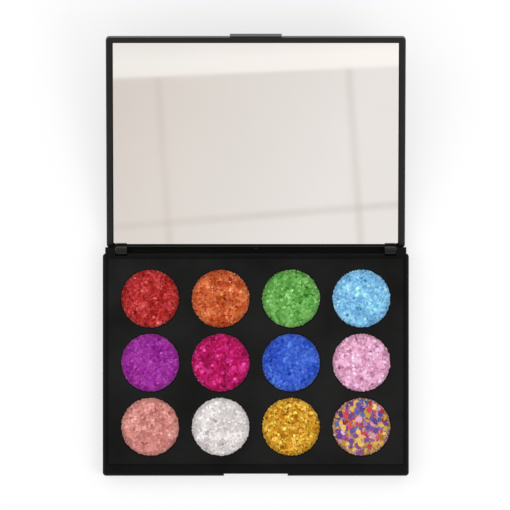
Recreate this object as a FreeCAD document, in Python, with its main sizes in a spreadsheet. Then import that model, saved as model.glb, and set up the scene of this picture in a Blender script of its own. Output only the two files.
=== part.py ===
import FreeCAD, Part
import os
import Sketcher

# Eyeshadow palette: a flat hinged case with twelve round pans of pressed glitter and a mirror in its lid.
# Millimetres. X runs to the right, Y from the front edge towards the hinge, Z up.
# The origin is the middle of the base's underside. The lid stands open, leaning on its hinge stops.

# The pans, row by row from the hinge to the front, each row from left to right
PAN_ROWS = (
    ("red", "orange", "green", "sky_blue"),
    ("violet", "magenta", "royal_blue", "pink"),
    ("rose_gold", "silver", "gold", "confetti"),
)
ROWS = len(PAN_ROWS)
COLUMNS = len(PAN_ROWS[0])

SIZES = {
    # Pans and the pressed glitter in them
    "pan_diameter": 26.0,
    "pan_height": 4.4,
    "pan_wall": 0.3,
    "pan_corner_radius": 0.6,
    "pan_sink": 0.3,
    "pan_clearance": 0.2,
    "pan_glue_thickness": 0.2,
    "pan_glue_diameter": 12.0,
    "cake_clearance": 0.05,
    "cake_drop": 0.45,
    "cake_crown": 0.4,
    "cake_foot_bevel": 0.4,
    # Tray insert with a blind well for each pan
    "column_web": 4.9,
    "row_web": 2.1,
    "tray_side_margin": 5.7,
    "tray_front_margin": 3.6,
    "tray_rear_margin": 4.7,
    "tray_thickness": 1.2,
    "tray_corner_radius": 0.8,
    "tray_gap": 0.15,
    "tray_glue_thickness": 0.2,
    "tray_glue_diameter": 10.0,
    "well_wall": 0.7,
    "well_floor": 0.8,
    "well_edge_radius": 0.25,
    # Base
    "floor_thickness": 1.4,
    "side_rim": 2.0,
    "rear_rim": 2.0,
    "front_rim": 4.8,
    "field_drop": 0.7,
    "corner_radius": 1.5,
    "rim_bevel": 0.9,
    "underside_radius": 0.6,
    "notch_width": 28.4,
    "notch_depth": 0.9,
    # Hinge
    "hinge_offset": 0.9,
    "knuckle_radius": 1.9,
    "knuckle_length": 4.5,
    "knuckle_inset": 1.1,
    "lug_length": 4.8,
    "lug_root": 1.4,
    "lug_neck": 0.9,
    "heel_drop": 1.5,
    "stop_gap": 0.05,
    "hinge_gap": 0.25,
    "pin_diameter": 1.5,
    "pin_engagement": 4.0,
    "pin_recess": 0.3,
    "pin_bevel": 0.2,
    "pin_fixed_clearance": 0.01,
    "pin_running_clearance": 0.05,
    "skirt_height": 2.4,
    "lid_open_angle": 162.0,
    # Lid and mirror
    "lid_side_inset": 1.7,
    "lid_front_inset": 1.2,
    "lid_gap": 0.1,
    "lid_roof": 1.4,
    "lid_side_frame": 2.6,
    "lid_front_frame": 2.2,
    "lid_rear_frame": 1.1,
    "lid_edge_radius": 1.0,
    "lid_rim_bevel": 0.5,
    "mirror_thickness": 1.3,
    "mirror_sink": 1.0,
    "mirror_gap": 0.2,
    "mirror_corner_radius": 0.6,
    "mirror_bevel": 0.3,
    "tape_thickness": 0.2,
    "tape_width": 12.0,
    "tape_end_margin": 15.0,
    "tape_side_margin": 8.0,
    "nub_width": 1.6,
    "nub_height": 1.2,
    "nub_reach": 0.8,
    # Lift tab and its catch on the lid's front edge
    "tab_width": 23.0,
    "tab_height": 2.8,
    "tab_root": 1.0,
    "tab_edge_radius": 0.4,
    "lip_drop": 1.8,
    "lip_thickness": 0.7,
    "bead_width": 9.0,
    "bead_radius": 0.3,
    "bead_height": 0.6,
    "bead_clearance": 0.1,
    "catch_gap": 0.2,
}

# Sizes that follow from the driving sizes.
# The lid's own positions are measured from the hinge axis, lid closed; its open edge's with the lid open.
LAYOUT = {
    "well_diameter": "Sizes.pan_diameter + 2 * Sizes.pan_clearance",
    "column_pitch": "well_diameter + Sizes.column_web",
    "row_pitch": "well_diameter + Sizes.row_web",
    "grid_width": f"{COLUMNS - 1} * column_pitch + well_diameter",
    "grid_depth": f"{ROWS - 1} * row_pitch + well_diameter",
    "tray_width": "grid_width + 2 * Sizes.tray_side_margin",
    "tray_depth": "grid_depth + Sizes.tray_front_margin + Sizes.tray_rear_margin",
    "base_width": "tray_width + 2 * (Sizes.tray_gap + Sizes.side_rim)",
    "base_depth": "tray_depth + 2 * Sizes.tray_gap + Sizes.front_rim + Sizes.rear_rim",
    "base_right": "base_width / 2",
    "base_front": "-base_depth / 2",
    "base_rear": "base_depth / 2",
    "tray_front": "base_front + Sizes.front_rim + Sizes.tray_gap",
    "tray_rear": "tray_front + tray_depth",
    "first_column": "-(grid_width - well_diameter) / 2",
    "first_row": "tray_rear - Sizes.tray_rear_margin - well_diameter / 2",
    "well_base": "Sizes.floor_thickness + Sizes.tray_glue_thickness",
    "well_seat": "well_base + Sizes.well_floor",
    "pan_seat": "well_seat + Sizes.pan_glue_thickness",
    "field_top": "pan_seat + Sizes.pan_height + Sizes.pan_sink",
    "rim_top": "field_top + Sizes.field_drop",
    "cake_radius": "Sizes.pan_diameter / 2 - Sizes.pan_wall - Sizes.cake_clearance",
    "cake_edge": "Sizes.pan_height - Sizes.pan_wall - Sizes.cake_drop",
    "hinge_y": "base_rear + Sizes.hinge_offset",
    "hinge_z": "rim_top - Sizes.knuckle_radius",
    "knuckle_far": "base_right - Sizes.knuckle_inset",
    "knuckle_near": "knuckle_far - Sizes.knuckle_length",
    "lug_far": "knuckle_near - Sizes.hinge_gap",
    "lug_near": "lug_far - Sizes.lug_length",
    "lug_room": "Sizes.knuckle_radius + Sizes.hinge_gap",
    "heel_reach": "lug_room - Sizes.stop_gap",
    "heel_sweep": "sqrt(heel_reach ^ 2 + Sizes.heel_drop ^ 2)",
    "pin_inner_end": "lug_far - Sizes.pin_engagement",
    "pin_length": "knuckle_far - Sizes.pin_recess - pin_inner_end",
    "lid_right": "base_right - Sizes.lid_side_inset",
    "lid_front": "base_front + Sizes.lid_front_inset - hinge_y",
    "lid_rear": "-Sizes.hinge_offset",
    "lid_seat": "rim_top + Sizes.lid_gap - hinge_z",
    "mirror_face": "lid_seat + Sizes.mirror_sink",
    "mirror_back": "mirror_face + Sizes.mirror_thickness",
    "recess_top": "mirror_back + Sizes.tape_thickness",
    "lid_top": "recess_top + Sizes.lid_roof",
    "recess_right": "lid_right - Sizes.lid_side_frame",
    "recess_front": "lid_front + Sizes.lid_front_frame",
    "recess_rear": "lid_rear - Sizes.lid_rear_frame",
    "open_edge_y": "lid_seat * sin(Sizes.lid_open_angle) - Sizes.hinge_offset * cos(Sizes.lid_open_angle)",
    "open_edge_z": "lid_seat * cos(Sizes.lid_open_angle) + Sizes.hinge_offset * sin(Sizes.lid_open_angle)",
    "skirt_fall": "hinge_z + open_edge_z - Sizes.skirt_height",
    "skirt_reach": "open_edge_y - skirt_fall * tan(Sizes.lid_open_angle) - Sizes.hinge_gap",
    "lip_rear": "base_front + Sizes.notch_depth - hinge_y - Sizes.catch_gap",
    "tab_front": "lip_rear - Sizes.lip_thickness",
    "lip_bottom": "lid_seat - Sizes.lip_drop",
    "bead_level": "lip_bottom + Sizes.bead_height",
}

# Cuts that leave the material run this far past its face
OVERRUN = 1.0
# Two positions closer than this are the same
SAME = 0.001

doc = FreeCAD.newDocument("eyeshadow_palette")


def fill_sheet(name, cells):
    """Makes a spreadsheet with one named cell for each entry."""
    sheet = doc.addObject("Spreadsheet::Sheet", name)
    for row, (alias, content) in enumerate(cells.items(), 1):
        sheet.set(f"A{row}", alias)
        sheet.setAlias(f"B{row}", alias)
        sheet.set(f"B{row}", content)
    doc.recompute()
    return sheet


sizes = fill_sheet("Sizes", {alias: str(size) for alias, size in SIZES.items()})
layout = fill_sheet("Layout", {alias: "=" + formula for alias, formula in LAYOUT.items()})


def value(expression):
    """The number that an expression on the two sheets comes to."""
    return float(layout.evalExpression(expression))


# Sketches


def new_sketch(body, role, offset):
    """A sketch on one of the body's origin planes, moved along the plane's normal."""
    sketch = body.newObject("Sketcher::SketchObject", "Sketch")
    plane = next(item for item in body.Origin.OriginFeatures if item.Role == role)
    sketch.AttachmentSupport = [(plane, "")]
    sketch.MapMode = "FlatFace"
    sketch.setExpression("AttachmentOffset.Base.z", offset)
    return sketch


def pin_point(sketch, geometry, point, x, y):
    """Ties a point of the sketch to its coordinates."""
    for kind, expression in (("DistanceX", x), ("DistanceY", y)):
        constraint = Sketcher.Constraint(kind, -1, 1, geometry, point, value(expression))
        index = sketch.addConstraint(constraint)
        sketch.setExpression(f"Constraints[{index}]", expression)


def polygon(sketch, corners):
    """A closed outline of straight lines through the given corners."""
    points = [FreeCAD.Vector(value(x), value(y), 0) for x, y in corners]
    count = len(points)
    for index in range(count):
        sketch.addGeometry(Part.LineSegment(points[index], points[(index + 1) % count]), False)
    for index, (x, y) in enumerate(corners):
        sketch.addConstraint(Sketcher.Constraint("Coincident", index, 2, (index + 1) % count, 1))
        pin_point(sketch, index, 1, x, y)


def rectangle(sketch, x_range, y_range):
    """An upright rectangle between two X and two Y positions."""
    (left, right), (front, rear) = x_range, y_range
    polygon(sketch, [(left, front), (right, front), (right, rear), (left, rear)])


def circle(sketch, x, y, radius):
    """A circle about a point."""
    centre = FreeCAD.Vector(value(x), value(y), 0)
    index = sketch.addGeometry(Part.Circle(centre, FreeCAD.Vector(0, 0, 1), value(radius)), False)
    pin_point(sketch, index, 3, x, y)
    constraint = sketch.addConstraint(Sketcher.Constraint("Radius", index, value(radius)))
    sketch.setExpression(f"Constraints[{constraint}]", radius)


# Features


def extrude(body, kind, sketch, start, end):
    """Adds (Pad) or cuts (Pocket) the sketch between two positions along its normal."""
    feature = body.newObject("PartDesign::" + kind, kind)
    feature.Profile = sketch
    feature.setExpression("Length", f"({end}) - ({start})")
    doc.recompute()
    return feature


def first_level(kind, start, end):
    """Where the sketch of a pad or a pocket lies: a pad grows from it, a pocket sinks from it."""
    return start if kind == "Pad" else end


def block(body, kind, x_range, y_range, z_range):
    """Adds or cuts a box."""
    sketch = new_sketch(body, "XY_Plane", first_level(kind, *z_range))
    rectangle(sketch, x_range, y_range)
    return extrude(body, kind, sketch, *z_range)


def rods(body, kind, centres, radius, z_range):
    """Adds or cuts upright cylinders about the given centres."""
    sketch = new_sketch(body, "XY_Plane", first_level(kind, *z_range))
    for x, y in centres:
        circle(sketch, x, y, radius)
    return extrude(body, kind, sketch, *z_range)


def barrel(body, kind, x_range, y, z, radius):
    """Adds or cuts a cylinder that lies along X."""
    sketch = new_sketch(body, "YZ_Plane", first_level(kind, *x_range))
    circle(sketch, y, z, radius)
    return extrude(body, kind, sketch, *x_range)


def revolve(body, role, corners, axis):
    """Turns an outline once round an axis of its sketch."""
    sketch = new_sketch(body, role, "0")
    polygon(sketch, corners)
    feature = body.newObject("PartDesign::Revolution", "Revolution")
    feature.Profile = sketch
    feature.ReferenceAxis = (sketch, [axis])
    feature.Angle = 360
    doc.recompute()
    return feature


def dress(body, kind, feature, wanted, size):
    """Rounds (Fillet) or bevels (Chamfer) the edges that wanted picks out."""
    edges = [f"Edge{number}" for number, edge in enumerate(feature.Shape.Edges, 1) if wanted(edge)]
    dressing = body.newObject("PartDesign::" + kind, kind)
    dressing.Base = (feature, edges)
    dressing.setExpression("Radius" if kind == "Fillet" else "Size", size)
    doc.recompute()
    return dressing


def close(position, expression):
    """True where a position is the one that the expression gives."""
    return abs(position - value(expression)) < SAME


def upright(edge):
    """True for an edge that runs straight up."""
    return max(edge.BoundBox.XLength, edge.BoundBox.YLength) < SAME


def level_at(height):
    """Picks out the edges that lie in the level plane at a height."""
    return lambda edge: close(edge.BoundBox.ZMin, height) and close(edge.BoundBox.ZMax, height)


def upright_at(x):
    """Picks out the upright edges at a distance from the middle, on both sides."""
    return lambda edge: upright(edge) and close(abs(edge.BoundBox.Center.x), x)


def ring_at(radius, height):
    """Picks out the circles of one radius in the level plane at a height."""
    level = level_at(height)
    return lambda edge: level(edge) and close(edge.BoundBox.XLength / 2, radius)


def on_side(side, near, far):
    """The X range between two distances from the middle, on the right (1) or on the left (-1)."""
    return (near, far) if side > 0 else (f"-({far})", f"-({near})")


def both_sides(distance):
    """The X range from a distance on the left to the same distance on the right."""
    return f"-({distance})", distance


def place(item, x, y, z):
    """Ties an object's position to the sheets."""
    for axis, expression in zip("xyz", (x, y, z)):
        item.setExpression(f"Placement.Base.{axis}", expression)


def group(label, pieces):
    """Gathers separate pieces under one label."""
    compound = doc.addObject("Part::Compound", label)
    compound.Links = pieces
    return compound


def glue_dot(x, y, z, diameter, thickness):
    """A flat round dot of set glue."""
    dot = doc.addObject("Part::Cylinder", "GlueDot")
    dot.setExpression("Radius", diameter + " / 2")
    dot.setExpression("Height", thickness)
    place(dot, x, y, z)
    return dot


def open_lid(item):
    """Hangs an object that is drawn about the hinge axis on the open hinge."""
    item.Placement = FreeCAD.Placement(FreeCAD.Vector(), FreeCAD.Rotation(FreeCAD.Vector(1, 0, 0), 1))
    place(item, "0", "Layout.hinge_y", "Layout.hinge_z")
    item.setExpression("Placement.Rotation.Angle", "-Sizes.lid_open_angle")


# The middle of each well, under the name of the pan that it holds
well_centres = {}
for row, names in enumerate(PAN_ROWS):
    for column, name in enumerate(names):
        well_centres[name] = (
            f"Layout.first_column + {column} * Layout.column_pitch",
            f"Layout.first_row - {row} * Layout.row_pitch",
        )

# Base: a shallow box with a wide front rim, hinge knuckles at the rear corners and a skirt under the hinge
base = doc.addObject("PartDesign::Body", "base_shell")
base_depth_range = ("Layout.base_front", "Layout.base_rear")
outline = block(base, "Pad", both_sides("Layout.base_right"), base_depth_range, ("0", "Layout.rim_top"))
outline = dress(base, "Fillet", outline, upright, "Sizes.corner_radius")
outline = dress(base, "Fillet", outline, level_at("0"), "Sizes.underside_radius")
outline = dress(base, "Chamfer", outline, level_at("Layout.rim_top"), "Sizes.rim_bevel")

cavity_right = "Layout.base_right - Sizes.side_rim"
cavity_depth_range = ("Layout.tray_front - Sizes.tray_gap", "Layout.tray_rear + Sizes.tray_gap")
above_rim = f"Layout.rim_top + {OVERRUN}"
cavity_height = ("Sizes.floor_thickness", above_rim)
cavity = block(base, "Pocket", both_sides(cavity_right), cavity_depth_range, cavity_height)
dress(base, "Fillet", cavity, upright_at(cavity_right), "Sizes.tray_corner_radius + Sizes.tray_gap")

notch_depth_range = (f"Layout.base_front - {OVERRUN}", "Layout.base_front + Sizes.notch_depth")
block(base, "Pocket", both_sides("Sizes.notch_width / 2"), notch_depth_range, (f"-{OVERRUN}", above_rim))
groove_range = both_sides("Sizes.bead_width / 2 + Sizes.catch_gap")
groove_y = "Layout.hinge_y + Layout.lip_rear"
groove_z = "Layout.hinge_z + Layout.bead_level"
barrel(base, "Pocket", groove_range, groove_y, groove_z, "Sizes.bead_radius + Sizes.bead_clearance")

skirt_depth_range = ("Layout.base_rear - Sizes.rear_rim / 2", "Layout.hinge_y + Layout.skirt_reach")
skirt_height = ("Sizes.underside_radius", "Sizes.skirt_height")
block(base, "Pad", both_sides("Layout.knuckle_near"), skirt_depth_range, skirt_height)

for side in (1, -1):
    knuckle_range = on_side(side, "Layout.knuckle_near", "Layout.knuckle_far")
    knuckle_depth_range = ("Layout.base_rear - Sizes.rear_rim / 2", "Layout.hinge_y")
    knuckle_height = ("Layout.hinge_z - Sizes.knuckle_radius", "Layout.rim_top")
    block(base, "Pad", knuckle_range, knuckle_depth_range, knuckle_height)
    barrel(base, "Pad", knuckle_range, "Layout.hinge_y", "Layout.hinge_z", "Sizes.knuckle_radius")

    pocket_range = on_side(side, "Layout.lug_near - Sizes.hinge_gap", "Layout.knuckle_near")
    pocket_depth_range = ("Layout.hinge_y - Layout.lug_room", f"Layout.base_rear + {OVERRUN}")
    pocket_floor = "Layout.hinge_z - Layout.heel_sweep - Sizes.hinge_gap"
    block(base, "Pocket", pocket_range, pocket_depth_range, (pocket_floor, above_rim))

    bore_range = on_side(side, "Layout.lug_far", f"Layout.knuckle_far + {OVERRUN}")
    bore_radius = "Sizes.pin_diameter / 2 + Sizes.pin_fixed_clearance"
    barrel(base, "Pocket", bore_range, "Layout.hinge_y", "Layout.hinge_z", bore_radius)

# Tray insert: a plate level with the pans, with a blind well hanging under each hole
tray = doc.addObject("PartDesign::Body", "tray_insert")
plate_bottom = "Layout.field_top - Sizes.tray_thickness"
tray_depth_range = ("Layout.tray_front", "Layout.tray_rear")
tray_right = "Layout.tray_width / 2"
plate = block(tray, "Pad", both_sides(tray_right), tray_depth_range, (plate_bottom, "Layout.field_top"))
dress(tray, "Fillet", plate, upright, "Sizes.tray_corner_radius")
centres = list(well_centres.values())
cup_radius = "Layout.well_diameter / 2 + Sizes.well_wall"
rods(tray, "Pad", centres, cup_radius, ("Layout.well_base", f"{plate_bottom} + Sizes.tray_thickness / 2"))
wells = rods(tray, "Pocket", centres, "Layout.well_diameter / 2", ("Layout.well_seat", "Layout.field_top"))
well_mouth = ring_at("Layout.well_diameter / 2", "Layout.field_top")
dress(tray, "Fillet", wells, well_mouth, "Sizes.well_edge_radius")

# Glue: a dot under each pan, and a dot under every second well
pan_dots = []
tray_dots = []
for index, (x, y) in enumerate(centres):
    pan_dots.append(
        glue_dot(x, y, "Layout.well_seat", "Sizes.pan_glue_diameter", "Sizes.pan_glue_thickness")
    )
    row, column = divmod(index, COLUMNS)
    if (row + column) % 2 == 0:
        tray_dots.append(
            glue_dot(x, y, "Sizes.floor_thickness", "Sizes.tray_glue_diameter", "Sizes.tray_glue_thickness")
        )
pan_glue = group("pan_glue_dots", pan_dots)
tray_glue = group("tray_glue_dots", tray_dots)

# Pans: thin metal cups, each with a cake of pressed glitter that stands a little proud in the middle
pans = []
cakes = []
pan_radius = "Sizes.pan_diameter / 2"
pan_inner_radius = f"{pan_radius} - Sizes.pan_wall"
cake_shoulder = "Layout.cake_radius - Sizes.cake_foot_bevel"
for name, (x, y) in well_centres.items():
    pan = doc.addObject("PartDesign::Body", "pan_" + name)
    cup = revolve(
        pan,
        "XZ_Plane",
        [
            ("0", "0"),
            (pan_radius, "0"),
            (pan_radius, "Sizes.pan_height"),
            (pan_inner_radius, "Sizes.pan_height"),
            (pan_inner_radius, "Sizes.pan_wall"),
            ("0", "Sizes.pan_wall"),
        ],
        "V_Axis",
    )
    dress(pan, "Fillet", cup, ring_at(pan_radius, "0"), "Sizes.pan_corner_radius")
    place(pan, x, y, "Layout.pan_seat")
    pans.append(pan)

    cake = doc.addObject("PartDesign::Body", "glitter_" + name)
    revolve(
        cake,
        "XZ_Plane",
        [
            ("0", "0"),
            (cake_shoulder, "0"),
            ("Layout.cake_radius", "Sizes.cake_foot_bevel"),
            ("Layout.cake_radius", "Layout.cake_edge"),
            (cake_shoulder, "Layout.cake_edge + Sizes.cake_crown"),
            ("0", "Layout.cake_edge + Sizes.cake_crown"),
        ],
        "V_Axis",
    )
    place(cake, x, y, "Layout.pan_seat + Sizes.pan_wall")
    cakes.append(cake)

# Hinge pins, fixed in the base's knuckles
pins = []
pin_radius = "Sizes.pin_diameter / 2"
pin_end_radius = f"{pin_radius} - Sizes.pin_bevel"
for label, start in (("hinge_pin_right", "Layout.pin_inner_end"),
                     ("hinge_pin_left", "-(Layout.pin_inner_end + Layout.pin_length)")):
    pin = doc.addObject("PartDesign::Body", label)
    revolve(
        pin,
        "XY_Plane",
        [
            ("0", "0"),
            ("Layout.pin_length", "0"),
            ("Layout.pin_length", pin_end_radius),
            ("Layout.pin_length - Sizes.pin_bevel", pin_radius),
            ("Sizes.pin_bevel", pin_radius),
            ("0", pin_end_radius),
        ],
        "H_Axis",
    )
    place(pin, start, "Layout.hinge_y", "Layout.hinge_z")
    pins.append(pin)

# Lid: a shallow cover with a mirror recess, hinge lugs and a lift tab with a catch bead, drawn closed
lid = doc.addObject("PartDesign::Body", "lid_shell")
lid_depth_range = ("Layout.lid_front", "Layout.lid_rear")
lid_height = ("Layout.lid_seat", "Layout.lid_top")
cover = block(lid, "Pad", both_sides("Layout.lid_right"), lid_depth_range, lid_height)
cover = dress(lid, "Fillet", cover, upright, "Sizes.corner_radius")
cover = dress(lid, "Fillet", cover, level_at("Layout.lid_top"), "Sizes.lid_edge_radius")
dress(lid, "Chamfer", cover, level_at("Layout.lid_seat"), "Sizes.lid_rim_bevel")

recess_depth_range = ("Layout.recess_front", "Layout.recess_rear")
below_seat = f"Layout.lid_seat - {OVERRUN}"
recess_height = (below_seat, "Layout.recess_top")
recess = block(lid, "Pocket", both_sides("Layout.recess_right"), recess_depth_range, recess_height)
recess_corner = "Sizes.mirror_corner_radius + Sizes.mirror_gap"
dress(lid, "Fillet", recess, upright_at("Layout.recess_right"), recess_corner)

nub_depth_range = ("Layout.lid_rear - Sizes.lid_rear_frame / 2", "Layout.lid_rear + Sizes.nub_reach")
nub_bottom = "Layout.lid_seat + Sizes.lid_rim_bevel"
nub_height = (nub_bottom, f"{nub_bottom} + Sizes.nub_height")
block(lid, "Pad", both_sides("Sizes.nub_width / 2"), nub_depth_range, nub_height)

tab_range = both_sides("Sizes.tab_width / 2")
tab_depth_range = ("Layout.tab_front", "Layout.lid_front + Sizes.tab_root")
tab_height = ("Layout.lid_seat", "Layout.lid_seat + Sizes.tab_height")
block(lid, "Pad", tab_range, tab_depth_range, tab_height)
lip_depth_range = ("Layout.tab_front", "Layout.lip_rear")
lip = block(lid, "Pad", tab_range, lip_depth_range, ("Layout.lip_bottom", "Layout.lid_seat"))


def on_tab_front(edge):
    """True for an edge round the tab's front face."""
    return close(edge.BoundBox.YMin, "Layout.tab_front") and close(edge.BoundBox.YMax, "Layout.tab_front")


dress(lid, "Fillet", lip, on_tab_front, "Sizes.tab_edge_radius")
bead_range = both_sides("Sizes.bead_width / 2")
barrel(lid, "Pad", bead_range, "Layout.lip_rear", "Layout.bead_level", "Sizes.bead_radius")

for side in (1, -1):
    lug_range = on_side(side, "Layout.lug_near", "Layout.lug_far")
    barrel(lid, "Pad", lug_range, "0", "0", "Sizes.knuckle_radius")
    neck_depth_range = ("-Sizes.knuckle_radius", "Sizes.lug_neck")
    block(lid, "Pad", lug_range, neck_depth_range, ("0", "Layout.lid_seat + Sizes.lug_root"))

    heel_sketch = new_sketch(lid, "YZ_Plane", lug_range[0])
    heel_sketch.setExpression("AttachmentOffset.Rotation.Angle", "Sizes.lid_open_angle")
    rectangle(heel_sketch, ("-Layout.heel_reach", "0"), ("-Sizes.heel_drop", "0"))
    extrude(lid, "Pad", heel_sketch, *lug_range)

    bore_range = on_side(side, "Layout.pin_inner_end - Sizes.pin_recess", f"Layout.lug_far + {OVERRUN}")
    barrel(lid, "Pocket", bore_range, "0", "0", "Sizes.pin_diameter / 2 + Sizes.pin_running_clearance")
open_lid(lid)

# Mirror: a glass plate with finely bevelled edges, on three strips of tape in the lid's recess
mirror = doc.addObject("PartDesign::Body", "mirror")
mirror_right = "Layout.recess_right - Sizes.mirror_gap"
mirror_front = "Layout.recess_front + Sizes.mirror_gap"
mirror_rear = "Layout.recess_rear - Sizes.mirror_gap"
mirror_height = ("Layout.mirror_face", "Layout.mirror_back")
glass = block(mirror, "Pad", both_sides(mirror_right), (mirror_front, mirror_rear), mirror_height)
glass = dress(mirror, "Fillet", glass, upright, "Sizes.mirror_corner_radius")
dress(mirror, "Chamfer", glass, level_at("Layout.mirror_face"), "Sizes.mirror_bevel")
open_lid(mirror)

tape_strips = []
tape_front = f"{mirror_front} + Sizes.tape_end_margin"
tape_rear = f"{mirror_rear} - Sizes.tape_end_margin - Sizes.tape_width"
for y in (tape_front, f"({tape_front} + {tape_rear}) / 2", tape_rear):
    strip = doc.addObject("Part::Box", "TapeStrip")
    strip.setExpression("Length", f"2 * ({mirror_right} - Sizes.tape_side_margin)")
    strip.setExpression("Width", "Sizes.tape_width")
    strip.setExpression("Height", "Sizes.tape_thickness")
    place(strip, f"Sizes.tape_side_margin - ({mirror_right})", y, "Layout.mirror_back")
    tape_strips.append(strip)
mirror_tape = group("mirror_tape_strips", tape_strips)
open_lid(mirror_tape)

doc.recompute()

pieces = [base, tray, tray_glue, pan_glue, *pans, *cakes, *pins, lid, mirror, mirror_tape]
for item in doc.Objects:
    if "Invalid" in item.State or "Error" in item.State:
        raise RuntimeError(f"{item.Label} did not build")
os.makedirs("parts", exist_ok=True)
for piece in pieces:
    if piece.Shape.isNull() or not piece.Shape.isValid():
        raise RuntimeError(f"{piece.Label} has no sound shape")
    piece.Shape.exportStep(f"parts/{piece.Label}.step")
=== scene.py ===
import colorsys
import math
import random

import bpy
from mathutils import Color, Euler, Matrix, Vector, noise


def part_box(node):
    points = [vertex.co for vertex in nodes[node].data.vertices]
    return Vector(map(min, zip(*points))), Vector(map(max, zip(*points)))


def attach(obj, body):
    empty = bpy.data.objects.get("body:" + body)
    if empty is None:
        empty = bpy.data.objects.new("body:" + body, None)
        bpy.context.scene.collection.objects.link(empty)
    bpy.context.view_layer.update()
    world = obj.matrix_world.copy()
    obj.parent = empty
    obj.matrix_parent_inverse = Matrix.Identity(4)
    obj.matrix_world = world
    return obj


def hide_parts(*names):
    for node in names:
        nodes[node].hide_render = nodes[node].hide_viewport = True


# Looks of the eyeshadow palette: black moulded plastic, a mirror in the lid and pans of pressed glitter.
# Lengths are in metres, in the part's own frame.

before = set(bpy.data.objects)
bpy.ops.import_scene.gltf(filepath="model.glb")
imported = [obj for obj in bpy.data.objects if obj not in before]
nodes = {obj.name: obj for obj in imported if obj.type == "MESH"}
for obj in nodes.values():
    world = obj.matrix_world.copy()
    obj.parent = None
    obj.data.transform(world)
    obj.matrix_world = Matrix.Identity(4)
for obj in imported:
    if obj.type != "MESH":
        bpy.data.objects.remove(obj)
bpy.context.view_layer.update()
scene = bpy.context.scene
MM = 0.001

# Glitter shades: hue, saturation and value as seen, and how far the flakes' values vary about that value
SHADES = {
    "red": (0.0, 0.77, 0.74, 0.13),
    "orange": (0.05, 0.75, 0.82, 0.13),
    "green": (0.29, 0.52, 0.71, 0.14),
    "sky_blue": (0.565, 0.44, 0.97, 0.10),
    "violet": (0.837, 0.73, 0.65, 0.11),
    "magenta": (0.92, 0.95, 0.76, 0.15),
    "royal_blue": (0.623, 0.72, 0.84, 0.08),
    "pink": (0.91, 0.26, 0.95, 0.12),
    "rose_gold": (0.015, 0.37, 0.87, 0.09),
    "silver": (0.0, 0.03, 0.93, 0.09),
    "gold": (0.113, 0.82, 0.87, 0.17),
    "confetti": (0.115, 0.61, 0.88, 0.09),
}
# The confetti's other flakes: the hue, saturation and value of each kind, and its share of all the flakes
CONFETTI_SHADES = (
    ((0.75, 0.48, 0.61), 0.26),
    ((0.98, 0.66, 0.80), 0.16),
    ((0.92, 0.28, 0.86), 0.11),
    ((0.63, 0.54, 0.69), 0.09),
)

# How far a flake's value departs from its shade's, in shares of the shade's variety:
# from flake to flake, from patch to patch, in a bright flake, in a dark flake, and in the cake under them.
# The spread from flake to flake and the bright and dark flakes are painted glints and painted shade,
# standing in for how each tilted flake catches light. The patches are partly uneven pressing and partly
# painted light. The darker cake is painted shade in the gaps between the flakes.
FLAKE_GLINT_AND_SHADE_CHANGE = 0.65
PATCH_CHANGE = 1.4
PAINTED_GLINT_CHANGE = 1.3
PAINTED_SHADE_CHANGE = 1.9
CAKE_PAINTED_SHADE = 1.5
PAINTED_GLINT_SHARE = 0.05
PAINTED_SHADE_SHARE = 0.07
PATCH_SIZE = 4.2 * MM
# How far apart the pans lie in the pattern of patches, so that no two pans have the same patches
PATCH_STEP = 10 * MM
SATURATION_RANGE = (0.93, 1.07)
HUE_SPREAD = 0.008
# How fast a flake loses colour as it gets brighter, whitening like a painted glint, and how far its hue then
# turns
FADE = 1.2
HUE_TURN = 0.03
# How much darker the flakes are at the cake's edge, and from which share of its radius on:
# painted shade, standing in for the shade of the pan's wall
PAINTED_RIM_SHADE = 0.15
PAINTED_RIM_SHADE_START = 0.8

# Flakes in each pan: their number, the range of their radius, and their height above the cake or the rim
FINE_FLAKES = 1900
FINE_SIZE = (0.26 * MM, 0.46 * MM)
FINE_LIFT = (0.02 * MM, 0.06 * MM)
COARSE_FLAKES = 240
COARSE_SIZE = (0.5 * MM, 1.0 * MM)
CONFETTI_FLAKES = 120
CONFETTI_SIZE = (1.1 * MM, 1.7 * MM)
COARSE_LIFT = (0.06 * MM, 0.17 * MM)
RIM_FLAKES = 190
RIM_SIZE = (0.18 * MM, 0.4 * MM)
RIM_LIFT = (0.03 * MM, 0.1 * MM)
FLAKE_HALF_THICKNESS = 0.03 * MM
# How many places are tried for a coarse flake, to keep it off the others
LAYING_TRIES = 5
# How much of its radius a flake keeps inside the cake's edge, and a stray inside the pan's
CAKE_HOLD = 0.8
PAN_HOLD = 0.85
# How far inside the cake's edge the strays on the rim begin
RIM_BAND = 0.4 * MM
# How far the flakes lean, in radians, and the share of them that stand up more
FLAT_LEAN = 0.1
STEEP_LEAN = 0.3
STEEP_SHARE = 0.15
RIM_LEAN = 0.05

# The cake under the flakes: its crown, its rise at the pan's wall, its lumps, and the room left above it
CAKE_CROWN = 0.3 * MM
CAKE_CREEP = 0.3 * MM
LUMP_HEIGHT = 0.13 * MM
LARGE_LUMP = 2.6 * MM
SMALL_LUMP = 1.1 * MM
SMALL_LUMP_SHARE = 0.5
FLAKE_ROOM = 0.12 * MM
# How close to the edge the crown falls away, the rise begins and the lumps die out: the higher, the closer
CROWN_POWER = 4
CREEP_POWER = 24
LUMP_POWER = 8
CAKE_RINGS = 18
CAKE_SPOKES = 72

# The map that colours are baked to is cut into squares, more of them than there are flakes.
# The cake has a corner of the map, with some room around it, and each flake has a square to itself.
SQUARES_PER_FLAKE = 1.2
CAKE_MAP_SHARE = 0.2
CAKE_MAP_ROOM = 1.2
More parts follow.
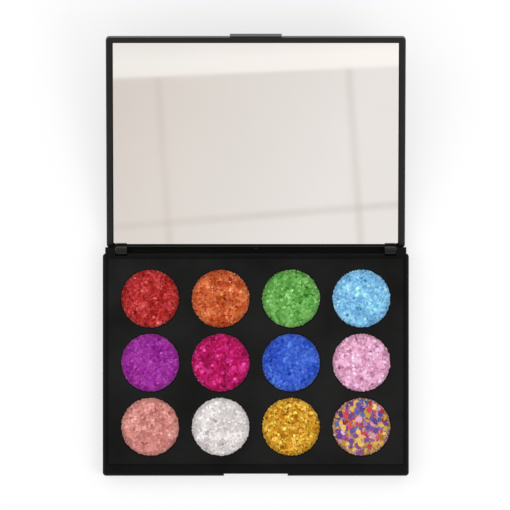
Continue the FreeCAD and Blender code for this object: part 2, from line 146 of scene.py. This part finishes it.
# A flake's square holds its two faces side by side, and its sides in a row below them
FLAKE_CORNERS = 6
FLAKE_ANGLES = [corner * math.tau / FLAKE_CORNERS for corner in range(FLAKE_CORNERS)]
FACE_MAP_RADIUS = 0.2
FACE_MAP_LEVEL = 0.6
TOP_MAP_MIDDLE = 0.27
UNDERSIDE_MAP_MIDDLE = 0.73
SIDE_MAP_START = 0.1
SIDE_MAP_STEP = 0.13
SIDE_MAP_WIDTH = 0.1
SIDE_MAP_BOTTOM = 0.1
SIDE_MAP_TOP = 0.25


# Node trees


def new_material(name):
    """A node material, with its tree and its principled shader."""
    material = bpy.data.materials.new(name)
    material.use_nodes = True
    tree = material.node_tree
    return material, tree, tree.nodes["Principled BSDF"]


def add_node(tree, kind, **settings):
    """Adds a node and sets its input sockets by name, with an underscore for a space."""
    node = tree.nodes.new(kind)
    for name, setting in settings.items():
        node.inputs[name.replace("_", " ")].default_value = setting
    return node


def noise_pattern(tree, scale, detail=4.0, rough=0.55):
    """A noise pattern in the object's own coordinates."""
    coordinates = tree.nodes.new("ShaderNodeTexCoord")
    pattern = add_node(tree, "ShaderNodeTexNoise", Scale=scale, Detail=detail, Roughness=rough)
    tree.links.new(coordinates.outputs["Object"], pattern.inputs["Vector"])
    return pattern.outputs["Fac"]


def spread(tree, source, low, high, start=0.3, end=0.7):
    """Maps a stretch of a pattern onto a range of values, and holds the ends."""
    node = add_node(tree, "ShaderNodeMapRange", From_Min=start, From_Max=end, To_Min=low, To_Max=high)
    tree.links.new(source, node.inputs["Value"])
    return node.outputs["Result"]


def blend(tree, amount, first, second):
    """Blends two colours, each a colour or another node's output."""
    node = tree.nodes.new("ShaderNodeMix")
    node.data_type = "RGBA"
    tree.links.new(amount, node.inputs["Factor"])
    for socket, colour in (("A_Color", first), ("B_Color", second)):
        target = next(item for item in node.inputs if item.identifier == socket)
        if isinstance(colour, tuple):
            target.default_value = (*colour, 1)
        else:
            tree.links.new(colour, target)
    return next(item for item in node.outputs if item.identifier == "Result_Color")


def bump(tree, shader, source, height, strength):
    """Raises the surface by a pattern."""
    node = add_node(tree, "ShaderNodeBump", Distance=height, Strength=strength)
    tree.links.new(source, node.inputs["Height"])
    tree.links.new(node.outputs["Normal"], shader.inputs["Normal"])


def calculate(tree, operation, first, second):
    """A sum, product or the like of an output with another output or a number."""
    node = tree.nodes.new("ShaderNodeMath")
    node.operation = operation
    tree.links.new(first, node.inputs[0])
    if isinstance(second, (int, float)):
        node.inputs[1].default_value = second
    else:
        tree.links.new(second, node.inputs[1])
    return node.outputs[0]


def split(tree, vector):
    """The X, Y and Z outputs of a vector."""
    parts = tree.nodes.new("ShaderNodeSeparateXYZ")
    tree.links.new(vector, parts.inputs["Vector"])
    return parts.outputs


# Materials


def grey(level):
    """A grey with a trace of warmth."""
    return (1.02 * level, level, 0.98 * level)


def two_tone(tree, shader, pattern, dark, light, smooth, rough):
    """Lets a pattern run the colour from dark to light, and the roughness with it."""
    tone = blend(tree, spread(tree, pattern, low=0, high=1), dark, light)
    tree.links.new(tone, shader.inputs["Base Color"])
    tree.links.new(spread(tree, pattern, smooth, rough), shader.inputs["Roughness"])


def moulded_plastic(name, dark, light, shine, smooth, rough):
    """Black moulded plastic with a fine grain and faint smudges."""
    material, tree, shader = new_material(name)
    smudges = noise_pattern(tree, scale=45.0)
    grain = noise_pattern(tree, scale=2400.0, detail=2.0)
    two_tone(tree, shader, smudges, grey(dark), grey(light), smooth, rough)
    bump(tree, shader, grain, height=0.02 * MM, strength=0.35)
    shader.inputs["Specular IOR Level"].default_value = shine
    return material


def worked_metal(name, dark, light, smooth, rough, scale):
    """Dark metal with fine marks from its making."""
    material, tree, shader = new_material(name)
    marks = noise_pattern(tree, scale, detail=6.0, rough=0.7)
    two_tone(tree, shader, marks, grey(dark), grey(light), smooth, rough)
    shader.inputs["Metallic"].default_value = 1.0
    return material


def bonding(name, dark, light, scale):
    """Cloudy set glue or foam tape."""
    material, tree, shader = new_material(name)
    clouds = noise_pattern(tree, scale)
    two_tone(tree, shader, clouds, dark, light, smooth=0.45, rough=0.7)
    bump(tree, shader, clouds, height=0.05 * MM, strength=0.4)
    return material


def silvered_glass(name):
    """Mirror silvering behind glass, with the faintest wipe marks."""
    material, tree, shader = new_material(name)
    wipes = noise_pattern(tree, scale=30.0, detail=5.0)
    two_tone(tree, shader, wipes, dark=grey(0.90), light=grey(0.92), smooth=0.012, rough=0.035)
    shader.inputs["Metallic"].default_value = 1.0
    return material


def metallised_flakes(name):
    """Glitter: each flake's colour and gloss come with its mesh."""
    material, tree, shader = new_material(name)
    flake = tree.nodes.new("ShaderNodeAttribute")
    flake.attribute_name = "flake"
    tree.links.new(flake.outputs["Color"], shader.inputs["Base Color"])
    roughness = spread(tree, flake.outputs["Alpha"], low=0.55, high=0.36, start=0, end=1)
    tree.links.new(roughness, shader.inputs["Roughness"])
    shader.inputs["Metallic"].default_value = 0.4
    shader.inputs["Specular IOR Level"].default_value = 0.2
    return material


# Glitter


def seen_colour(hue, saturation, value):
    """A colour as seen on a screen, turned into the linear numbers that light is worked out with."""
    screen = [min(part, 1) for part in colorsys.hsv_to_rgb(hue % 1, min(saturation, 1), value)]
    return Color(screen).from_srgb_to_scene_linear()


class Heap:
    """The glitter of one pan, gathered bit by bit: points and faces, and their colours and map places."""

    def __init__(self):
        self.points = []
        self.faces = []
        self.colours = []
        self.map_places = []

    def add(self, points, faces, colour, map_places):
        """Adds a closed solid of one colour; its map places follow its faces' corners."""
        start = len(self.points)
        self.points += points
        self.faces += [[start + index for index in face] for face in faces]
        self.colours += [colour] * len(points)
        self.map_places += map_places

    def make_piece(self, name):
        """Makes one object of the heap, with the colours and the map on its mesh."""
        mesh = bpy.data.meshes.new(name)
        mesh.from_pydata(self.points, [], self.faces)
        layer = mesh.color_attributes.new("flake", "FLOAT_COLOR", "POINT")
        layer.data.foreach_set("color", [part for colour in self.colours for part in colour])
        bake_map = mesh.uv_layers.new(name="OFBake")
        bake_map.uv.foreach_set("vector", [part for place in self.map_places for part in place])
        piece = bpy.data.objects.new(name, mesh)
        scene.collection.objects.link(piece)
        return piece


class Cake:
    """The pressed body of the glitter in one pan: crowned, lumpy, and drawn up a little at the pan's wall."""

    def __init__(self, name):
        low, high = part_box("glitter_" + name)
        self.middle = (low + high) / 2
        self.radius = (high.x - low.x) / 2
        self.bottom = low.z
        self.edge = high.z - CAKE_CROWN - FLAKE_ROOM

    def at(self, reach, turn):
        """The point of the top at a distance and a turn from the middle."""
        x = self.middle.x + reach * math.cos(turn)
        y = self.middle.y + reach * math.sin(turn)
        out = reach / self.radius
        spot = Vector((x, y, 0))
        lumps = noise.noise(spot / LARGE_LUMP) + SMALL_LUMP_SHARE * noise.noise(spot / SMALL_LUMP)
        crown = CAKE_CROWN * (1 - out ** CROWN_POWER) + CAKE_CREEP * out ** CREEP_POWER
        return Vector((x, y, self.edge + crown + LUMP_HEIGHT * lumps * (1 - out ** LUMP_POWER)))

    def pour(self, heap, colour, corner):
        """Adds the body to the heap, with its map in a corner square of this side."""
        points = [self.at(0, 0)]
        for ring in range(1, CAKE_RINGS + 1):
            reach = self.radius * ring / CAKE_RINGS
            points += [self.at(reach, math.tau * spoke / CAKE_SPOKES) for spoke in range(CAKE_SPOKES)]
        rim = len(points) - CAKE_SPOKES
        points += [Vector((point.x, point.y, self.bottom)) for point in points[rim:]]
        faces = [[0, 1 + spoke, 1 + (spoke + 1) % CAKE_SPOKES] for spoke in range(CAKE_SPOKES)]
        for ring in range(CAKE_RINGS):
            first = 1 + ring * CAKE_SPOKES
            for spoke in range(CAKE_SPOKES):
                near = first + spoke
                far = first + (spoke + 1) % CAKE_SPOKES
                faces.append([near, near + CAKE_SPOKES, far + CAKE_SPOKES, far])
        faces.append([rim + CAKE_SPOKES + spoke for spoke in reversed(range(CAKE_SPOKES))])
        across = CAKE_MAP_ROOM * 2 * self.radius
        map_places = []
        for face in faces:
            for index in face:
                place = (points[index] - self.middle) / across
                map_places.append((corner * (0.5 + place.x), corner * (0.5 + place.y)))
        heap.add(points, faces, colour, map_places)


def face_map(middle, angles):
    """Where the corners of one of a flake's faces lie in its square of the map."""
    places = []
    for angle in angles:
        u = middle + FACE_MAP_RADIUS * math.cos(angle)
        v = FACE_MAP_LEVEL + FACE_MAP_RADIUS * math.sin(angle)
        places.append((u, v))
    return places


def flake_map():
    """Where the corners of a flake's top, underside and sides lie in its square of the map."""
    places = face_map(TOP_MAP_MIDDLE, FLAKE_ANGLES)
    places += face_map(UNDERSIDE_MAP_MIDDLE, reversed(FLAKE_ANGLES))
    for side in range(FLAKE_CORNERS):
        left = SIDE_MAP_START + SIDE_MAP_STEP * side
        right = left + SIDE_MAP_WIDTH
        places += [(left, SIDE_MAP_TOP), (left, SIDE_MAP_BOTTOM)]
        places += [(right, SIDE_MAP_BOTTOM), (right, SIDE_MAP_TOP)]
    return places


def flake_faces():
    """A flake's top, underside and sides, by its points: the top's corners first, then the underside's."""
    corners = range(FLAKE_CORNERS)
    faces = [list(corners), [FLAKE_CORNERS + corner for corner in reversed(corners)]]
    for corner in corners:
        following = (corner + 1) % FLAKE_CORNERS
        faces.append([corner, FLAKE_CORNERS + corner, FLAKE_CORNERS + following, following])
    return faces


FLAKE_MAP = flake_map()
FLAKE_FACES = flake_faces()


def add_flake(heap, place, size, tilt, turn, colour, square, step):
    """Adds one thin flake, with a square of the map to itself."""
    rotation = Euler((*tilt, turn)).to_matrix()
    points = []
    for level in (FLAKE_HALF_THICKNESS, -FLAKE_HALF_THICKNESS):
        for angle in FLAKE_ANGLES:
            points.append(place + rotation @ Vector((size * math.cos(angle), size * math.sin(angle), level)))
    column, row = square
    heap.add(points, FLAKE_FACES, colour, [((column + u) * step, (row + v) * step) for u, v in FLAKE_MAP])


def flake_colour(generator, name, patch, shade):
    """A flake's colour, with painted glints and painted shade in its value, and, in the fourth place, its
    gloss.
    """
    hue, saturation, value, variety = SHADES[name]
    if name == "confetti":
        chance = generator.random()
        for other, share in CONFETTI_SHADES:
            if chance < share:
                hue, saturation, value = other
                break
            chance -= share
    # Painted light: the change in value stands in for how each tilted flake catches light, glints in bright
    # flakes and shade in dark ones
    change = 1 + variety * (generator.gauss(0, FLAKE_GLINT_AND_SHADE_CHANGE) + PATCH_CHANGE * patch)
    chance = generator.random()
    if chance < PAINTED_GLINT_SHARE:
        change += PAINTED_GLINT_CHANGE * variety
    elif chance < PAINTED_GLINT_SHARE + PAINTED_SHADE_SHARE:
        change -= PAINTED_SHADE_CHANGE * variety
    saturation *= generator.uniform(*SATURATION_RANGE) / change ** FADE
    # A flake painted brighter turns towards the nearest of yellow, cyan and magenta, one painted darker away
    # from it
    hue += generator.gauss(0, HUE_SPREAD) + HUE_TURN * (change - 1) * math.sin(6 * math.pi * hue)
    return (*seen_colour(hue, saturation, value * change * shade), generator.random())


class Filling:
    """The glitter of one pan as it is laid: its cake, its flakes so far and the map squares still free."""

    def __init__(self, name, seed):
        self.name = name
        self.seed = seed
        self.generator = random.Random(seed)
        self.cake = Cake(name)
        self.pan_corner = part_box("pan_" + name)[1]
        self.heap = Heap()
        side = math.ceil(math.sqrt(SQUARES_PER_FLAKE * (FINE_FLAKES + COARSE_FLAKES + RIM_FLAKES)))
        taken = math.ceil(CAKE_MAP_SHARE * side)
        places = [(column, row) for row in range(side) for column in range(side)]
        self.squares = [square for square in places if max(square) >= taken]
        self.step = 1 / side
        hue, saturation, value, variety = SHADES[name]
        # The cake is painted darker than its flakes: painted shade for the gaps between them
        cake_colour = seen_colour(hue, saturation, value * (1 - CAKE_PAINTED_SHADE * variety))
        self.cake.pour(self.heap, (*cake_colour, 0.0), taken / side)

    def drop(self, place, size, lean):
        """Lets one flake lie at a place, leaning about so far."""
        generator = self.generator
        patch = noise.noise(Vector((place.x, place.y, self.seed * PATCH_STEP)) / PATCH_SIZE)
        tilt = (generator.gauss(0, lean), generator.gauss(0, lean))
        out = (place - self.cake.middle).xy.length / self.cake.radius
        # Painted shade: flakes near the cake's edge are darkened, standing in for the shade of the pan's wall
        shade = 1 - PAINTED_RIM_SHADE * max(0, (out - PAINTED_RIM_SHADE_START) / (1 - PAINTED_RIM_SHADE_START))
        colour = flake_colour(generator, self.name, patch, shade)
        turn = generator.uniform(0, math.tau)
        add_flake(self.heap, place, size, tilt, turn, colour, self.squares.pop(), self.step)

    def place_on_cake(self, size):
        """A place anywhere on the cake's top where a flake of this size stays in the pan."""
        reach = (self.cake.radius - CAKE_HOLD * size) * math.sqrt(self.generator.random())
        return self.cake.at(reach, self.generator.uniform(0, math.tau))

    def pick_lean(self):
        """How far a flake leans: a few stand up more than the rest."""
        return STEEP_LEAN if self.generator.random() < STEEP_SHARE else FLAT_LEAN

    def lay_fine(self):
        """Covers the cake in fine flakes."""
        for _ in range(FINE_FLAKES):
            size = self.generator.uniform(*FINE_SIZE)
            place = self.place_on_cake(size)
            place.z += self.generator.uniform(*FINE_LIFT)
            self.drop(place, size, self.pick_lean())

    def lay_coarse(self, count, sizes):
        """Lays coarse flakes over the fine ones, each at the place tried that is farthest from the others."""
        laid = []
        for _ in range(count):
            size = self.generator.uniform(*sizes)
            tries = [self.place_on_cake(size) for _ in range(LAYING_TRIES)]
            place = max(tries, key=lambda spot: min(((spot - other).length for other in laid), default=0))
            laid.append(place.copy())
            place.z += self.generator.uniform(*COARSE_LIFT)
            self.drop(place, size, self.pick_lean())

    def lay_strays(self):
        """Scatters small strays over the pan's rim."""
        pan_radius = self.pan_corner.x - self.cake.middle.x
        for _ in range(RIM_FLAKES):
            size = self.generator.uniform(*RIM_SIZE)
            reach = self.generator.uniform(self.cake.radius - RIM_BAND, pan_radius - PAN_HOLD * size)
            place = self.cake.at(reach, self.generator.uniform(0, math.tau))
            place.z = self.pan_corner.z + self.generator.uniform(*RIM_LIFT)
            self.drop(place, size, RIM_LEAN)


def pressed_glitter(name, seed):
    """One pan's glitter: a lumpy cake covered in fine and coarse flakes, with strays on the pan's rim."""
    filling = Filling(name, seed)
    filling.lay_fine()
    if name == "confetti":
        filling.lay_coarse(CONFETTI_FLAKES, CONFETTI_SIZE)
    else:
        filling.lay_coarse(COARSE_FLAKES, COARSE_SIZE)
    filling.lay_strays()
    piece = filling.heap.make_piece("pressed_" + name)
    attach(piece, "base")
    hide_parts("glitter_" + name)
    return piece


# Dressing of the parts

base_black = moulded_plastic("base_black", dark=0.0004, light=0.0030, shine=0.12, smooth=0.44, rough=0.56)
# Painted light: the lid's black is set lighter than the base's, for the open lid's tilt that catches more
# light
lid_black_painted_lighter = moulded_plastic("lid_black_painted_lighter", dark=0.0016, light=0.0050, shine=0.36, smooth=0.28, rough=0.33)
tray_black = moulded_plastic("tray_black", dark=0.0006, light=0.0080, shine=0.16, smooth=0.44, rough=0.56)
# The pans' tin is set nearly black, far darker than bare tin, so that their thin rims read dark
pan_tin = worked_metal("pan_tin", dark=0.02, light=0.05, smooth=0.30, rough=0.45, scale=900.0)
pin_steel = worked_metal("pin_steel", dark=0.05, light=0.11, smooth=0.25, rough=0.4, scale=1400.0)
set_glue = bonding("set_glue", dark=(0.60, 0.58, 0.50), light=(0.78, 0.76, 0.70), scale=400.0)
foam_tape = bonding("foam_tape", dark=(0.74, 0.74, 0.72), light=(0.88, 0.88, 0.86), scale=1200.0)
mirror_silver = silvered_glass("mirror_silver")
glitter_flakes = metallised_flakes("glitter_flakes")

FINISHES = {
    "base_shell": base_black,
    "lid_shell": lid_black_painted_lighter,
    "tray_insert": tray_black,
    "tray_glue_dots": set_glue,
    "pan_glue_dots": set_glue,
    "mirror_tape_strips": foam_tape,
    "mirror": mirror_silver,
    "hinge_pin_left": pin_steel,
    "hinge_pin_right": pin_steel,
}


def finish_node(node_name, material):
    """Gives a CAD node its finished material."""
    mesh = nodes[node_name].data
    mesh.materials.clear()
    mesh.materials.append(material)


for node_name, material in FINISHES.items():
    finish_node(node_name, material)
for seed, name in enumerate(SHADES, 1):
    finish_node("pan_" + name, pan_tin)
    pressed_glitter(name, seed).data.materials.append(glitter_flakes)

# Stage

WHITE = (1, 1, 1)
FLOOR_SIDE = 8.0
# The floor's own colour; what it lacks of white is a glow that is seen but lights nothing
FLOOR_WHITE = 0.4
FILL_STRENGTH = 0.86
# The backdrop turns from white, at this height of a direction, to the ceiling's colour straight overhead
CEILING_START = 0.25
CEILING = (0.56, 0.535, 0.51)
LAMP_TARGET = Vector((0, 0.03, 0))


def studio_sheet(name, width, depth, material):
    """A flat rectangle that belongs to the studio, not to the part."""
    mesh = bpy.data.meshes.new(name)
    x, y = width / 2, depth / 2
    mesh.from_pydata([(-x, -y, 0), (x, -y, 0), (x, y, 0), (-x, y, 0)], [], [(0, 1, 2, 3)])
    mesh.materials.append(material)
    sheet = bpy.data.objects.new(name, mesh)
    scene.collection.objects.link(sheet)
    return sheet


def seen_directly(tree):
    """1 for what is seen, straight or by way of a mirror or glass, 0 for light that falls on things."""
    rays = tree.nodes.new("ShaderNodeLightPath").outputs
    straight_or_mirrored = calculate(tree, "MAXIMUM", rays["Is Camera Ray"], rays["Is Glossy Ray"])
    return calculate(tree, "MAXIMUM", straight_or_mirrored, rays["Is Transmission Ray"])


def mix_shaders(tree, amount, first, second, surface):
    """Blends two shaders' outputs into an output node's surface."""
    mixer = tree.nodes.new("ShaderNodeMixShader")
    tree.links.new(amount, mixer.inputs[0])
    tree.links.new(first, mixer.inputs[1])
    tree.links.new(second, mixer.inputs[2])
    tree.links.new(mixer.outputs[0], surface)


def softbox(name, place, size, power):
    """A square lamp that faces the pans."""
    lamp = bpy.data.lights.new(name, "AREA")
    lamp.size = size
    lamp.energy = power
    holder = bpy.data.objects.new(name, lamp)
    holder.location = place
    holder.rotation_euler = (LAMP_TARGET - Vector(place)).to_track_quat("-Z", "Y").to_euler()
    scene.collection.objects.link(holder)


floor_material, floor_tree, floor_shader = new_material("white_floor")
floor_shader.inputs["Base Color"].default_value = (FLOOR_WHITE, FLOOR_WHITE, FLOOR_WHITE, 1)
floor_shader.inputs["Roughness"].default_value = 0.9
floor_shader.inputs["Specular IOR Level"].default_value = 0.0
floor_shader.inputs["Emission Color"].default_value = (*WHITE, 1)
floor_glow = calculate(floor_tree, "MULTIPLY", seen_directly(floor_tree), 1 - FLOOR_WHITE)
floor_tree.links.new(floor_glow, floor_shader.inputs["Emission Strength"])
studio_sheet("studio_floor", FLOOR_SIDE, FLOOR_SIDE, floor_material)

world = bpy.data.worlds.new("studio")
scene.world = world
world.use_nodes = True
world_tree = world.node_tree
fill_light = world_tree.nodes["Background"]
fill_light.inputs["Color"].default_value = (*WHITE, 1)
fill_light.inputs["Strength"].default_value = FILL_STRENGTH
backdrop = add_node(world_tree, "ShaderNodeBackground", Strength=1.0)
direction = world_tree.nodes.new("ShaderNodeTexCoord").outputs["Generated"]
ceiling_share = spread(world_tree, split(world_tree, direction)["Z"], 0, 1, start=CEILING_START, end=1.0)
world_tree.links.new(blend(world_tree, ceiling_share, WHITE, CEILING), backdrop.inputs["Color"])
world_surface = world_tree.nodes["World Output"].inputs["Surface"]
mix_shaders(world_tree, seen_directly(world_tree), fill_light.outputs[0], backdrop.outputs[0], world_surface)

softbox("key_softbox", place=(0.75, -0.35, 1.0), size=0.6, power=3.0)
softbox("side_softbox", place=(-0.8, 0.5, 0.9), size=0.6, power=1.6)

# The tiled wall that the open mirror faces: a card that only reflections see.
# Its own axes are the picture's, as the mirror turns them; WALL_SCALE is card lengths for mirror lengths.
# Lines on it are given by their turn in degrees and their distance from its middle in mirror millimetres.
WALL_WIDTH = 0.26
WALL_HEIGHT = 0.22
WALL_DISTANCE = 0.6
WALL_SCALE = 1.13
# The card fades out from here to its edges, as the square of the share of the way from its middle
WALL_FADE_START = 0.7
LID_TILT = math.radians(18)
BEIGE = (0.72, 0.665, 0.62)
PALE_BEIGE = (0.87, 0.845, 0.825)
# The wall and its cornice get paler across this stretch
LIGHT_TURN = -115
LIGHT_START = -75
LIGHT_END = 35
SEAMS = ((4.5, -26), (-86, -41), (-86, 44))
SEAM_HALF_WIDTH = 2.4
SEAM_STRENGTH = 0.42
SEAM_SHADE = (0.90, 0.89, 0.88)
SEAM_COLOUR = tuple(beige * shade for beige, shade in zip(BEIGE, SEAM_SHADE))
# The cornice begins at its line with a soft edge, and higher up it gives way to pale beige
CORNICE = (0.93, 0.91, 0.88)
PALE_CORNICE = (1.04, 1.01, 0.98)
CORNICE_LINE = (2.5, 37.8)
CORNICE_SOFTNESS = 0.8
CORNICE_TOP_START = 7
CORNICE_TOP_END = 14
CORNICE_TOP_STRENGTH = 0.8


def wall_line(tree, position, turn, offset):
    """Distance past a straight line across the card, in mirror millimetres."""
    turned = tree.nodes.new("ShaderNodeVectorRotate")
    turned.rotation_type = "Z_AXIS"
    turned.inputs["Angle"].default_value = -math.radians(turn)
    tree.links.new(position, turned.inputs["Vector"])
    upward = split(tree, turned.outputs["Vector"])["Y"]
    scaled = calculate(tree, "MULTIPLY", upward, 1 / (WALL_SCALE * MM))
    return calculate(tree, "SUBTRACT", scaled, offset)


def seam(tree, position, turn, offset):
    """1 along a seam between tiles, fading to 0 either side."""
    distance = wall_line(tree, position, turn, offset)
    squared = calculate(tree, "MULTIPLY", distance, distance)
    return spread(tree, squared, 1, 0, start=0, end=SEAM_HALF_WIDTH ** 2)


def edge_fade(tree, position):
    """0 over most of the card, rising to 1 at its edges."""
    parts = split(tree, position)
    squares = []
    for axis, length in (("X", WALL_WIDTH), ("Y", WALL_HEIGHT)):
        share = calculate(tree, "MULTIPLY", parts[axis], 2 / length)
        squares.append(calculate(tree, "MULTIPLY", share, share))
    return spread(tree, calculate(tree, "MAXIMUM", *squares), 0, 1, start=WALL_FADE_START, end=1.0)


wall_material, wall_tree, wall_shader = new_material("tiled_wall")
wall_tree.nodes.remove(wall_shader)
wall_position = wall_tree.nodes.new("ShaderNodeTexCoord").outputs["Object"]
across_light = wall_line(wall_tree, wall_position, LIGHT_TURN, 0)
light = spread(wall_tree, across_light, 0, 1, start=LIGHT_START, end=LIGHT_END)
tone = blend(wall_tree, light, BEIGE, PALE_BEIGE)
for turn, offset in SEAMS:
    on_seam = calculate(wall_tree, "MULTIPLY", seam(wall_tree, wall_position, turn, offset), SEAM_STRENGTH)
    tone = blend(wall_tree, on_seam, tone, SEAM_COLOUR)
above = wall_line(wall_tree, wall_position, *CORNICE_LINE)
cornice = blend(wall_tree, light, CORNICE, PALE_CORNICE)
on_cornice = spread(wall_tree, above, 0, 1, start=-CORNICE_SOFTNESS, end=CORNICE_SOFTNESS)
tone = blend(wall_tree, on_cornice, tone, cornice)
on_top = spread(wall_tree, above, 0, CORNICE_TOP_STRENGTH, start=CORNICE_TOP_START, end=CORNICE_TOP_END)
tone = blend(wall_tree, on_top, tone, PALE_BEIGE)
glow = add_node(wall_tree, "ShaderNodeEmission", Strength=1.0)
wall_tree.links.new(tone, glow.inputs["Color"])
clear = wall_tree.nodes.new("ShaderNodeBsdfTransparent")
wall_surface = wall_tree.nodes["Material Output"].inputs["Surface"]
mix_shaders(wall_tree, edge_fade(wall_tree, wall_position), glow.outputs[0], clear.outputs[0], wall_surface)
wall = studio_sheet("tiled_wall", WALL_WIDTH, WALL_HEIGHT, wall_material)
wall_up = 2 * LID_TILT
low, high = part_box("mirror")
wall.rotation_euler = (wall_up, 0, 0)
wall.location = (low + high) / 2 + WALL_DISTANCE * Vector((0, -math.sin(wall_up), math.cos(wall_up)))
wall.visible_camera = False
wall.visible_diffuse = False
wall.visible_transmission = False
wall.visible_shadow = False

# Camera: straight above, far off, framed so that a millimetre of the pans is 2.25 pixels
PIXELS = 510
PIXELS_PER_METRE = 2250
CAMERA_X = -0.35 * MM
CAMERA_Y = 48.7 * MM
CAMERA_HEIGHT = 4.5
PAN_LEVEL = 7 * MM
camera_data = bpy.data.cameras.new("camera")
camera_data.lens = camera_data.sensor_width * (CAMERA_HEIGHT - PAN_LEVEL) * PIXELS_PER_METRE / PIXELS
camera_data.clip_end = 20
camera = bpy.data.objects.new("camera", camera_data)
camera.location = (CAMERA_X, CAMERA_Y, CAMERA_HEIGHT)
scene.collection.objects.link(camera)
scene.camera = camera

scene.view_settings.view_transform = "Standard"
